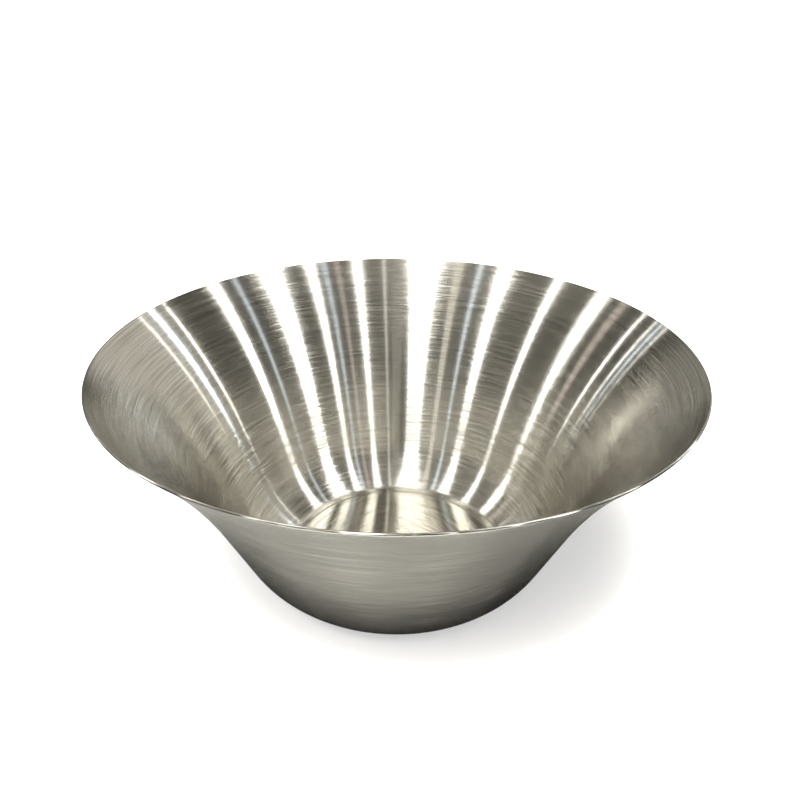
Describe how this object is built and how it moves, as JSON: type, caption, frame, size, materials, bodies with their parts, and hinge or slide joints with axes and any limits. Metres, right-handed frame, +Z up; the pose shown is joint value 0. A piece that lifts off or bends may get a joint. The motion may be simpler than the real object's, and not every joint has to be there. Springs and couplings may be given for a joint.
{
  "type": "offering bowl",
  "caption": "Brushed stainless steel offering bowl with a flat floor, a rounded foot and a wall that flares like a trumpet to a thin plain rim.",
  "frame": {"origin": "middle of the foot, on the plane of the table", "axes": "+Z up along the bowl's own axis; the bowl is round, so X and Y are alike, and -Y is the side that the picture shows"},
  "size_m": [0.24, 0.24, 0.1],
  "materials": {
    "brushed_steel": "brushed round the axis, inside and outside"
  },
  "bodies": {
    "root": {"bowl": "brushed_steel"}
  },
  "joints": []
}
